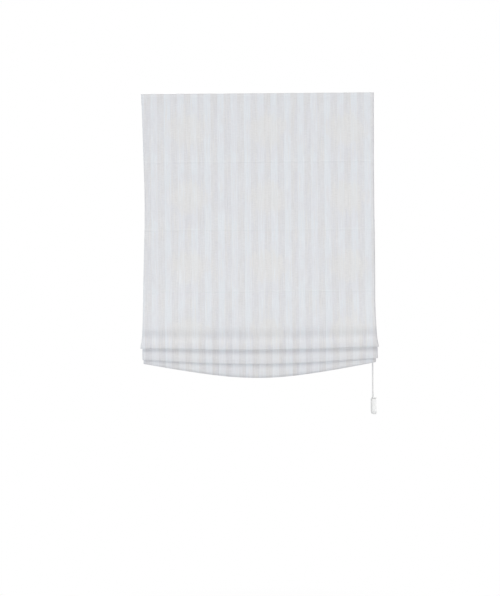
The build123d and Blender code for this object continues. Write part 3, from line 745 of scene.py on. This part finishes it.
light, grey, beige = (0.755, 0.777, 0.805), (0.746, 0.750, 0.777), (0.768, 0.757, 0.741)
mauve, taupe, bright = (0.712, 0.713, 0.739), (0.722, 0.716, 0.722), (0.794, 0.815, 0.838)
# The deeper mauve and taupe are painted shade: the dark bands are drawn darker on the fold stack than on the
# flat panel.
shaded_mauve, shaded_taupe = (0.655, 0.652, 0.680), (0.668, 0.656, 0.656)
wander_reach = 0.0032
wander = times(plus(linen_noise(across=130.0, down=6.0, detail=3.0), -0.5), wander_reach)
from_band = maths(linen, "PINGPONG", plus(split["X"], -stripe_start, wander), stripe_period / 2.0)
band = ramp(linen, from_band, (0.0126, 0.0090))
band_strength = ramp(linen, repeating(across=11.0, down=4.0, start=3.0, detail=2.0), (0.34, 0.62), (0.66, 1.0))
tint = ramp(linen, repeating(across=9.0, down=4.0, start=11.0, detail=3.0), (0.34, 0.66))
greyed = ramp(linen, repeating(across=11.0, down=4.0, start=37.0, detail=3.0), (0.43, 0.60))
near_wash = plus(near(across_turn, wash_across, repeat_width), near(down_turn, wash_down, repeat_length))
wash = ramp(linen, plus(near_wash, times(linen_noise(across=80.0, down=26.0, detail=4.0), 2.4)), (1.8, 2.8))
streak = linen_noise(across=330.0, down=16.0, detail=3.0, roughness=0.65)
slub = linen_noise(across=70.0, down=360.0, detail=3.0, roughness=0.65)
bright_thread = ramp(linen, linen_noise(across=340.0, down=11.0, detail=1.0), (0.55, 0.68))
beige_thread = ramp(linen, linen_noise(across=310.0, down=8.0, detail=2.0), (0.56, 0.68))
thread_tone = linen_noise(across=1300.0, down=30.0, detail=2.0)

pale_band = mixed(linen, times(greyed, 0.85), light, grey)
# Lower down the cloth, on the folds, the dark bands turn to their deeper versions. This is painted shade on the
# fold stack, not a change in the print.
fold_shade_share = ramp(linen, down_cloth, (0.755, 0.785), (0.0, 0.62))
dark_band_and_fold_shade = mixed(linen, fold_shade_share, mixed(linen, tint, mauve, taupe), mixed(linen, tint, shaded_mauve, shaded_taupe))
ground = mixed(linen, times(band, band_strength, show), pale_band, dark_band_and_fold_shade)
wash_level = ramp(linen, down_cloth, (0.76, 0.82), (0.58, 0.28))
ground = mixed(linen, times(wash, wash_level, show), ground, beige)
ground = mixed(linen, times(beige_thread, 0.6, show), ground, beige)
bright_level = ramp(linen, from_band, (0.0085, 0.0130), (0.20, 0.60))
ground = mixed(linen, times(bright_thread, bright_level), ground, bright)
streak_level = ramp(linen, from_band, (0.0078, 0.0140), (0.22, 0.16))
vertical = plus(times(plus(streak, -0.5), streak_level), times(plus(thread_tone, -0.5), 0.05))
hatch = times(plus(slub, -0.5), ramp(linen, from_band, (0.0140, 0.0078), (0.10, 0.20)))
put(linen, "NodeGroupOutput", {
    "Color": toned(linen, ground, plus(vertical, hatch, 1.0)),
    "Roughness": ramp(linen, thread_tone, (0.2, 0.8), (0.94, 0.80)),
    "Height": plus(times(woven(linen, uv, thread_across, thread_along), 0.5), plus(thread_tone, slub)),
})

linen_gloss = {"Specular IOR Level": 0.18, "Sheen Weight": 0.12, "Sheen Roughness": 0.5}
for name, shown in (("striped_linen", 1.0), ("striped_linen_reverse", 0.45)):
    finish = surface_finish(name, linen, {"Show": shown}, strength=0.16, depth=0.00025, constants=linen_gloss)
    cloth_mesh.materials.append(finish)
hem_thickness, single_fullness = 0.0019, 0.68
cloth_maker = put_in_scene("cloth_maker", cloth_mesh)
hem_margin = cloth_maker.vertex_groups.new(name="hem_margin")
rounding = 0.0001
turned_in = (abs(shares)[:, None] > 1.0 - side_hem - rounding) | (row_run > row_run[-1] - bottom_hem)
for fullness, points in ((1.0, turned_in), (single_fullness, ~turned_in)):
    hem_margin.add(np.flatnonzero(points).tolist(), fullness, "REPLACE")
thick = cloth_maker.modifiers.new("thickness", "SOLIDIFY")
thick.vertex_group = hem_margin.name
thick.thickness = hem_thickness
thick.offset = 0.0
thick.use_even_offset = True
thick.material_offset = 1
cloth = put_in_scene("shade_cloth_woven", plain_mesh(cloth_maker, "shade_cloth_woven"))
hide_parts("shade_cloth")
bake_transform(cloth)

# Seams: the side and bottom hems are felled by hand on the back with linen thread, and two machine
# rows hold the loop tape. Only small flat stitches of them lie on the cloth.
def random_between(tree, given, low, high):
    """A number between two others that differs from point to point, by the tree's seed."""
    values = {2: low, 3: high, "Seed": given["Seed"]}
    return put(tree, "FunctionNodeRandomValue", values, data_type="FLOAT").outputs[1]


def leaning(tree, angle):
    """A turn by an angle in the plane of the cloth."""
    return put(tree, "FunctionNodeAxisAngleToRotation", {"Axis": (0.0, 1.0, 0.0), "Angle": angle}).outputs[0]


stitching, given = new_tree("stitch_rows", {
    "Seams": "Geometry", "Pitch": "Float", "Stitch Length": "Float", "Thread Radius": "Float",
    "Slant": "Float", "Seed": "Int",
})
seam = put(stitching, "GeometryNodeMeshToCurve", {"Mesh": given["Seams"]}).outputs[0]
sizes = {"Curve": seam, "Length": given["Pitch"]}
spaced = put(stitching, "GeometryNodeResampleCurve", sizes, mode="LENGTH").outputs[0]
one_stitch = put(stitching, "GeometryNodeMeshUVSphere", {"Segments": 8, "Rings": 5}).outputs["Mesh"]
way = put(stitching, "GeometryNodeInputTangent").outputs[0]
along_seam = put(stitching, "FunctionNodeAlignRotationToVector", {"Vector": way}, axis="X").outputs[0]
slant = maths(stitching, "MULTIPLY", random_between(stitching, given, 0.7, 1.3), given["Slant"])
slanted = put(
    stitching, "FunctionNodeRotateRotation",
    {"Rotation": along_seam, "Rotate By": leaning(stitching, slant)}, rotation_space="GLOBAL",
).outputs[0]
stitch_size = put(stitching, "ShaderNodeCombineXYZ", {
    "X": maths(stitching, "MULTIPLY", given["Stitch Length"], 0.5),
    "Y": given["Thread Radius"], "Z": given["Thread Radius"],
}).outputs[0]
sewn = put(stitching, "GeometryNodeInstanceOnPoints", {
    "Points": spaced, "Instance": one_stitch, "Rotation": slanted, "Scale": stitch_size,
}).outputs[0]
end_tree(stitching, given, sewn)

linen_thread = grained_finish(
    "linen_thread", (0.74, 0.74, 0.745), roughness=0.62, scale=2600.0, tone=0.08, relief=0.20,
)
single_half, hem_half = 0.00064, 0.00094
thread_rise = 0.00008


def cloth_place(share, row, outward):
    """A point on the cloth's back, or with outward -1 on its front, with room for a thread."""
    place = [np.interp(share, shares, grid[:, row, axis]) for axis in range(3)]
    before, after = grid[column_total // 2, row - 1], grid[column_total // 2, row + 1]
    way = (after - before)[1:] / np.linalg.norm((after - before)[1:])
    in_hem = abs(share) > 1.0 - side_hem or row_run[row] > row_run[-1] - bottom_hem
    rise = outward * ((hem_half if in_hem else single_half) + thread_rise)
    return place[0], place[1] - rise * way[1], place[2] + rise * way[0]


def seam_lines(name, lines):
    """A mesh of open lines, one for each seam."""
    places, edges = [], []
    for line in lines:
        edges += [(len(places) + n, len(places) + n + 1) for n in range(len(line) - 1)]
        places += line
    mesh = bpy.data.meshes.new(name)
    mesh.from_pydata(places, edges, [])
    return mesh


side_inset, bottom_inset = 0.004, 0.0015
hem_share = 1.0 - side_hem + side_inset
seam_top, seam_bottom = -0.028, -0.615
panel_rows = [row for row in range(1, first_bottom_row) if seam_bottom < middle_rows[row, 1] < seam_top]
hem_row = int(np.searchsorted(row_run, row_run[-1] - bottom_hem + bottom_inset))
hem_lines = [[cloth_place(side * hem_share, row, 1.0) for row in panel_rows] for side in (-1.0, 1.0)]
hem_lines.append([cloth_place(share, hem_row, 1.0) for share in shares if abs(share) < hem_share])
hem_stitches = from_tree("hem_stitches", stitching, {
    "Pitch": 0.0065, "Stitch Length": 0.0042, "Thread Radius": 0.00032, "Slant": 0.45, "Seed": 5,
    "Finish": linen_thread,
}, seam_lines("hem_seams", hem_lines))
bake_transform(hem_stitches)

tape_low, tape_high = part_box("loop_tape")
tape_inset, tape_share = 0.003, 0.985
seam_levels = (tape_high.z - tape_inset, tape_low.z + tape_inset)
tape_rows = [int(np.argmin(abs(middle_rows[:first_bottom_row, 1] - z))) for z in seam_levels]
tape_lines = [
    [cloth_place(share, max(row, 1), -1.0) for share in shares if abs(share) < tape_share] for row in tape_rows
]
tape_stitches = from_tree("tape_stitches", stitching, {
    "Pitch": 0.0033, "Stitch Length": 0.0026, "Thread Radius": 0.00018, "Slant": 0.0, "Seed": 8,
    "Finish": linen_thread,
}, seam_lines("tape_seams", tape_lines))
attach(tape_stitches, "head")

# Rings: small glossy plastic rings, sewn by hand to the back of the cloth at each fold, two in a
# row, with a few turns of thread through the cloth.
ring_gloss = grained_finish(
    "ring_gloss", (0.88, 0.88, 0.86), roughness=0.12, scale=700.0, tone=0.02, relief=0.03,
)
give_finish(ring_gloss, "ring_row_1", "ring_row_2", "ring_row_3", "ring_row_4", "ring_row_5")

tacking, given = new_tree("thread_loops", {
    "Places": "Geometry", "Loop Size": "Vector", "Thread Radius": "Float", "Lean": "Float", "Seed": "Int",
})
upright = put(tacking, "GeometryNodeTransform", {
    "Geometry": circle(tacking, resolution=12, radius=1.0), "Rotation": (0.0, math.radians(90.0), 0.0),
}).outputs[0]
sized = put(tacking, "GeometryNodeTransform", {"Geometry": upright, "Scale": given["Loop Size"]}).outputs[0]
one_loop = put(tacking, "GeometryNodeCurveToMesh", {
    "Curve": sized, "Profile Curve": circle(tacking, resolution=5, radius=given["Thread Radius"]),
}).outputs[0]
lean = random_between(tacking, given, maths(tacking, "MULTIPLY", given["Lean"], -1.0), given["Lean"])
tacked = put(tacking, "GeometryNodeInstanceOnPoints", {
    "Points": given["Places"], "Instance": one_loop, "Rotation": leaning(tacking, lean),
}).outputs[0]
end_tree(tacking, given, tacked)

wire_radius, loop_forward = 0.0008, 0.0005
tack_steps = (-0.0010, -0.0005, 0.0, 0.0005, 0.0010)
for row, body in enumerate(("upper_rings", "middle_rings", "lower_rings", "hem", "hem"), 1):
    ring_low, ring_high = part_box(f"ring_row_{row}")
    sewn_y = ring_low.y + wire_radius - loop_forward
    level = (ring_low.z + ring_high.z) / 2.0
    places = [(side * lift_x + step, sewn_y, level) for side in (-1, 1) for step in tack_steps]
    tack = from_tree(f"ring_thread_{row}", tacking, {
        "Loop Size": (1.0, 0.00155, 0.00105), "Thread Radius": 0.0002, "Lean": 0.14, "Seed": row,
        "Finish": linen_thread,
    }, seam_lines(f"tack_places_{row}", [[place] for place in places]))
    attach(tack, body)

# Spreader rod: a thin plastic rod between two eyes in the lowest turn. It keeps the sides apart,
# and the lift cords end in small stops under the eyes.
rod_skin = grained_finish(
    "rod_skin", (0.85, 0.85, 0.83), roughness=0.30, scale=300.0, tone=0.03, relief=0.08,
)
give_finish(rod_skin, "spreader_rod")
give_finish(white_moulding, "rod_tip_left", "rod_tip_right", "cord_stop_left", "cord_stop_right")

# Tensioner: a moulded base and bulging cover, fixed by two screws from the side, with a small
# grooved pulley on a steel pin that keeps the cord loop tight.
give_finish(white_moulding, "tensioner_base", "tensioner_cover")
give_finish(grey_moulding, "tensioner_pulley")

# Control cord: an endless braided cord, thicker than the lift cords. It goes over the cord wheel,
# down to the tensioner, round its pulley and back up.
loop_x, loop_y, loop_r = 0.364, -0.0026, 0.010
wheel_z, pulley_z = -0.0166, -1.007
corner, straight = loop_r * math.tan(math.radians(22.5)), 0.017
loop_route = (
    (0.0, wheel_z + loop_r), (-corner, wheel_z + loop_r), (-loop_r, wheel_z + corner),
    (-loop_r, wheel_z - straight), (-loop_r, pulley_z + straight),
    (-loop_r, pulley_z - corner), (-corner, pulley_z - loop_r),
    (corner, pulley_z - loop_r), (loop_r, pulley_z - corner),
    (loop_r, pulley_z + straight), (loop_r, wheel_z - straight),
    (loop_r, wheel_z + corner), (corner, wheel_z + loop_r), (0.0, wheel_z + loop_r),
)
loop_points = [(loop_x, loop_y + back, z) for back, z in loop_route]
loop_braid = braided_finish("control_cord_braid", cord_white, strands=6, lay_length=0.0020)
loop_line = cord_line("control_line", loop_points, resolution=16)
control = cord_tube("control_cord_braided", loop_line, radius=0.0014, sides=14, finish=loop_braid)
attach(control, "head")
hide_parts("control_cord")
